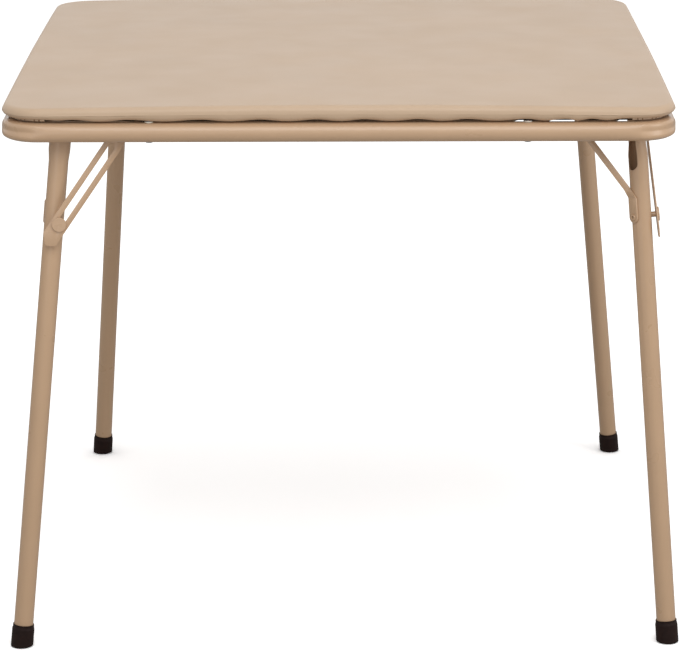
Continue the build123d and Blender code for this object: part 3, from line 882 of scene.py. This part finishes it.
def weld_tree(material):
    """A weld bead along a straight line: overlapping round drops of uneven size."""
    tree, given, made = geometry_tree("weld_bead", (
        ("Start", "NodeSocketVector"), ("End", "NodeSocketVector"),
        ("Drop", "NodeSocketFloat"), ("Spacing", "NodeSocketFloat"), ("Seed", "NodeSocketInt"),
    ))
    line = add_node(
        tree, "GeometryNodeCurvePrimitiveLine",
        {"Start": given.outputs["Start"], "End": given.outputs["End"]},
    )
    spaced = add_node(
        tree, "GeometryNodeResampleCurve",
        {"Curve": line.outputs[0], "Length": given.outputs["Spacing"]}, mode="LENGTH",
    )
    drop = add_node(
        tree, "GeometryNodeMeshIcoSphere", {"Radius": given.outputs["Drop"], "Subdivisions": 2}
    )
    size = add_node(
        tree, "FunctionNodeRandomValue",
        {"Min": 0.85, "Max": 1.15, "Seed": given.outputs["Seed"]}, data_type="FLOAT",
    )
    placed = add_node(
        tree, "GeometryNodeInstanceOnPoints",
        {"Points": spaced.outputs[0], "Instance": drop.outputs[0], "Scale": size.outputs[1]},
    )
    real = add_node(tree, "GeometryNodeRealizeInstances", {"Geometry": placed.outputs[0]})
    rounded = add_node(tree, "GeometryNodeSetShadeSmooth", {"Geometry": real.outputs[0]})
    finished = add_node(
        tree, "GeometryNodeSetMaterial", {"Geometry": rounded.outputs[0], "Material": material}
    )
    tree.links.new(finished.outputs[0], made.inputs[0])
    return tree


class CARDTABLE_OT_finishes(bpy.types.Operator):
    """Makes the materials of every finish."""

    bl_idname = "card_table.finishes"
    bl_label = "Make finishes"

    def execute(self, context):
        colours = context.scene.card_table_colours
        sizes = context.scene.card_table_sizes
        pressed_vinyl(colours.vinyl, sizes.vinyl_grain)
        powder_coat(colours.paint, sizes.paint_ripple)
        moulded_rubber(colours.rubber)
        pressed_hardboard(colours.board)
        plated_steel("zinc_plated_steel", colours.steel, low=0.3, high=0.45)
        plated_steel("galvanised_wire", colours.steel, low=0.35, high=0.55)
        moulded_nylon(colours.washer)
        return {"FINISHED"}


class CARDTABLE_OT_padded_top(bpy.types.Operator):
    """Makes the padded vinyl top, and finishes the board inside it."""

    bl_idname = "card_table.padded_top"
    bl_label = "Make padded top"

    def execute(self, context):
        form = PadTop(context.scene.card_table_sizes)
        mesh = mesh_of_rings(
            "padded_top", form.rings(),
            Vector((0, 0, form.top_height(0, 0))), Vector((0, 0, BOARD_HIGH.z)),
        )
        mesh.shade_smooth()
        mesh.set_sharp_from_angle(angle=math.radians(60))
        piece = link_piece(
            "padded_top", mesh, "frame", find_material("embossed_pvc_vinyl")
        )
        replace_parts(piece, "vinyl_cover", "foam_pad")
        finish_node("top_board", "screen_back_hardboard")
        return {"FINISHED"}


class CARDTABLE_OT_staples(bpy.types.Operator):
    """Makes the staples that hold the hem to the board."""

    bl_idname = "card_table.staples"
    bl_label = "Make staples"
    # Place of the staples as a share of the hem's reach, and how far they sink into the hem as
    # a share of their wire
    hem_share = 0.83
    wire_sunk = 0.3
    askew = math.radians(12)

    def execute(self, context):
        sizes = context.scene.card_table_sizes
        inset = sizes.hem_reach * self.hem_share
        half = (PAD_HIGH.x - PAD_LOW.x) / 2 - inset
        mesh = grown_mesh("hem_staples", staple_tree(find_material("galvanised_wire")), {
            "Path Width": 2 * half, "Corner Radius": sizes.corner_radius - inset,
            "Height": PAD_LOW.z - sizes.staple_wire * self.wire_sunk,
            "Spacing": sizes.staple_spacing, "Staple Width": sizes.staple_width,
            "Wire": sizes.staple_wire, "Askew": self.askew, "Seed": 3,
        })
        link_piece("hem_staples", mesh, "frame", find_material("galvanised_wire"))
        return {"FINISHED"}


class CARDTABLE_OT_rail(bpy.types.Operator):
    """Paints the rail and its brackets, and lays the welds between them."""

    bl_idname = "card_table.rail"
    bl_label = "Finish rail and brackets"
    weld_inset = 18.4 * MM
    weld_height = 697.9 * MM
    weld_half_length = 14 * MM
    # Distance between two drops, as a share of a drop's radius
    drop_spacing = 1.1

    def execute(self, context):
        sizes = context.scene.card_table_sizes
        paint = find_material("satin_powder_coat")
        mesh = mesh_of_loop("bent_rail", BentRail(sizes).rings())
        mesh.shade_smooth()
        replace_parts(link_piece("bent_rail", mesh, "frame", paint), "frame_tube")
        beads = weld_tree(paint)
        for number, prefix in enumerate(CORNERS):
            dress(prefix + "_bracket", "frame", paint, sizes.edge_round)
            finish_node(prefix + "_hinge_rod", "zinc_plated_steel")
            finish_node(prefix + "_brace_rivet", "satin_powder_coat")
            # The bead lies in the corner between the web of the bracket and the rail
            turn = Matrix.Rotation(number * QUARTER_TURN, 3, "Z")
            low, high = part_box(prefix + "_hinge_rod")
            along = (turn.inverted() @ ((low + high) / 2)).x
            off_rail = RAIL_LOW.y + self.weld_inset
            ends = [
                turn @ Vector((along + side * self.weld_half_length, off_rail, self.weld_height))
                for side in (-1, 1)
            ]
            mesh = grown_mesh(prefix + "_weld", beads, {
                "Start": ends[0], "End": ends[1], "Drop": sizes.weld_drop,
                "Spacing": sizes.weld_drop * self.drop_spacing, "Seed": number,
            })
            link_piece(prefix + "_weld", mesh, "frame", paint)
        return {"FINISHED"}


class CARDTABLE_OT_legs(bpy.types.Operator):
    """Paints the legs and stays, and finishes their caps and rivets."""

    bl_idname = "card_table.legs"
    bl_label = "Finish legs"

    def execute(self, context):
        edge_round = context.scene.card_table_sizes.edge_round
        paint = find_material("satin_powder_coat")
        for prefix in CORNERS:
            for part in ("_leg", "_stay", "_stay_rivet"):
                dress(prefix + part, prefix + "_leg_set", paint, edge_round)
            finish_node(prefix + "_foot_cap", "moulded_rubber")
        return {"FINISHED"}


class CARDTABLE_OT_braces(bpy.types.Operator):
    """Paints the slotted braces and their lock pins."""

    bl_idname = "card_table.braces"
    bl_label = "Finish braces"

    def execute(self, context):
        edge_round = context.scene.card_table_sizes.edge_round
        paint = find_material("satin_powder_coat")
        for prefix in CORNERS:
            dress(prefix + "_brace", prefix + "_brace_arm", paint, edge_round)
            finish_node(prefix + "_lock_pin", "satin_powder_coat")
        return {"FINISHED"}


class CARDTABLE_OT_fixings(bpy.types.Operator):
    """Finishes the screws and washers under the top."""

    bl_idname = "card_table.fixings"
    bl_label = "Finish fixings"

    def execute(self, context):
        finish_node("top_screws", "zinc_plated_steel")
        finish_node("top_washers", "moulded_nylon")
        return {"FINISHED"}


def area_light(name, place, aim, size, power):
    """A square soft light that faces its aim."""
    lamp = bpy.data.lights.new(name, "AREA")
    lamp.shape = "SQUARE"
    lamp.size = size
    lamp.energy = power
    holder = bpy.data.objects.new(name, lamp)
    bpy.context.scene.collection.objects.link(holder)
    holder.location = place
    holder.rotation_mode = "QUATERNION"
    holder.rotation_quaternion = (Vector(aim) - Vector(place)).to_track_quat("-Z", "Y")


class CARDTABLE_OT_stage(bpy.types.Operator):
    """Makes the camera, the soft light and the white floor."""

    bl_idname = "card_table.stage"
    bl_label = "Make stage"
    # Strength of the white surroundings as soft light, and of the floor as the camera sees it
    ambient = 0.60
    floor_white = 1.72
    floor_reach = 30.0
    # What the lights face, and for each one its name, place, width in metres and power in watts
    middle = (0, 0, 0.55)
    softboxes = (
        ("key_softbox", (0.2, -3.4, 3.9), 2.8, 66),
        ("top_softbox", (0, 0.2, 4.4), 2.4, 11),
        ("side_softbox", (4.2, -2.6, 2.0), 2.4, 52),
        ("low_softbox", (-1.5, -4.3, 0.8), 2.0, 9),
    )

    def execute(self, context):
        self.place_camera(context)
        self.light_world(context)
        self.lay_floor(context)
        for name, place, size, power in self.softboxes:
            area_light(name, place, self.middle, size, power)
        context.scene.view_settings.view_transform = "Standard"
        return {"FINISHED"}

    def place_camera(self, context):
        """Camera of the photograph, turned round the table rather than the table before it."""
        given = context.scene.card_table_camera
        forward = Vector((0, math.cos(given.pitch), -math.sin(given.pitch)))
        level_right = Vector((1, 0, 0))
        level_down = Vector((0, -math.sin(given.pitch), -math.cos(given.pitch)))
        right = level_right * math.cos(given.roll) + level_down * math.sin(given.roll)
        down = level_down * math.cos(given.roll) - level_right * math.sin(given.roll)
        axes = Matrix((right, -down, -forward)).transposed().to_4x4()
        place = Matrix.Translation((given.sideways, -given.distance, given.height))
        lens = bpy.data.cameras.new("photograph_camera")
        lens.sensor_width = 36
        lens.lens = given.lens
        lens.clip_end = 100
        camera = bpy.data.objects.new("photograph_camera", lens)
        context.scene.collection.objects.link(camera)
        camera.matrix_world = Matrix.Rotation(given.yaw, 4, "Z") @ place @ axes
        context.scene.camera = camera

    def light_world(self, context):
        """White surroundings: plain white to the eye and in reflections, dimmer as light."""
        world = bpy.data.worlds.new("studio")
        context.scene.world = world
        world.use_nodes = True
        tree = world.node_tree
        tree.nodes.clear()
        path = add_node(tree, "ShaderNodeLightPath")
        strength = add_node(
            tree, "ShaderNodeMapRange",
            {"Value": path.outputs["Is Diffuse Ray"], "To Min": 1.0, "To Max": self.ambient},
        )
        surroundings = add_node(
            tree, "ShaderNodeBackground", {"Color": (1, 1, 1, 1), "Strength": strength.outputs[0]}
        )
        add_node(tree, "ShaderNodeOutputWorld", {"Surface": surroundings.outputs[0]})

    def lay_floor(self, context):
        """White seamless floor, whiter to the camera than as a reflector, with its shadows."""
        mesh = bpy.data.meshes.new("studio_floor")
        reach = self.floor_reach
        corners = [(-reach, -reach, 0), (reach, -reach, 0), (reach, reach, 0), (-reach, reach, 0)]
        mesh.from_pydata(corners, [], [(0, 1, 2, 3)])
        floor = bpy.data.objects.new("studio_floor", mesh)
        context.scene.collection.objects.link(floor)
        material, tree = new_material("painted_studio_floor")
        path = add_node(tree, "ShaderNodeLightPath")
        colour = add_node(
            tree, "ShaderNodeMix",
            {"Factor": path.outputs["Is Camera Ray"],
             "A": context.scene.card_table_colours.floor, "B": (*[self.floor_white] * 3, 1)},
            data_type="RGBA", clamp_result=False,
        )
        paint = add_node(tree, "ShaderNodeBsdfDiffuse", {"Color": colour.outputs["Result"]})
        # Clear from below, so that the underside of the table can be looked at
        underneath = add_node(tree, "ShaderNodeNewGeometry").outputs["Backfacing"]
        clear = add_node(tree, "ShaderNodeBsdfTransparent")
        shader = add_node(
            tree, "ShaderNodeMixShader",
            {"Fac": underneath, 1: paint.outputs[0], 2: clear.outputs[0]},
        )
        close_material(tree, shader)
        mesh.materials.append(material)


class CARDTABLE_PT_panel(bpy.types.Panel):
    """Lists the steps that dress the table, and the sizes and colours they use."""

    bl_idname = "CARDTABLE_PT_panel"
    bl_label = "Card Table"
    bl_space_type = "VIEW_3D"
    bl_region_type = "UI"
    bl_category = "Card Table"

    def draw(self, context):
        scene = context.scene
        for group in (scene.card_table_sizes, scene.card_table_colours, scene.card_table_camera):
            for name in group.bl_rna.properties.keys():
                if name not in ("rna_type", "name"):
                    self.layout.prop(group, name)
        for step in STEPS:
            self.layout.operator(step.bl_idname)


STEPS = (
    CARDTABLE_OT_finishes,
    CARDTABLE_OT_padded_top,
    CARDTABLE_OT_staples,
    CARDTABLE_OT_rail,
    CARDTABLE_OT_legs,
    CARDTABLE_OT_braces,
    CARDTABLE_OT_fixings,
    CARDTABLE_OT_stage,
)
GROUPS = {
    "card_table_sizes": CardTableSizes,
    "card_table_colours": CardTableColours,
    "card_table_camera": CardTableCamera,
}


def register():
    for group in GROUPS.values():
        bpy.utils.register_class(group)
    for name, group in GROUPS.items():
        setattr(bpy.types.Scene, name, bpy.props.PointerProperty(type=group))
    for step in (*STEPS, CARDTABLE_PT_panel):
        bpy.utils.register_class(step)


def unregister():
    for step in reversed((*STEPS, CARDTABLE_PT_panel)):
        bpy.utils.unregister_class(step)
    for name, group in GROUPS.items():
        delattr(bpy.types.Scene, name)
        bpy.utils.unregister_class(group)


def main():
    """Dresses the table step by step."""
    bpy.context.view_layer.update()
    register()
    bpy.ops.card_table.finishes()
    bpy.ops.card_table.padded_top()
    bpy.ops.card_table.staples()
    bpy.ops.card_table.rail()
    bpy.ops.card_table.legs()
    bpy.ops.card_table.braces()
    bpy.ops.card_table.fixings()
    bpy.ops.card_table.stage()


if __name__ == "__main__":
    main()
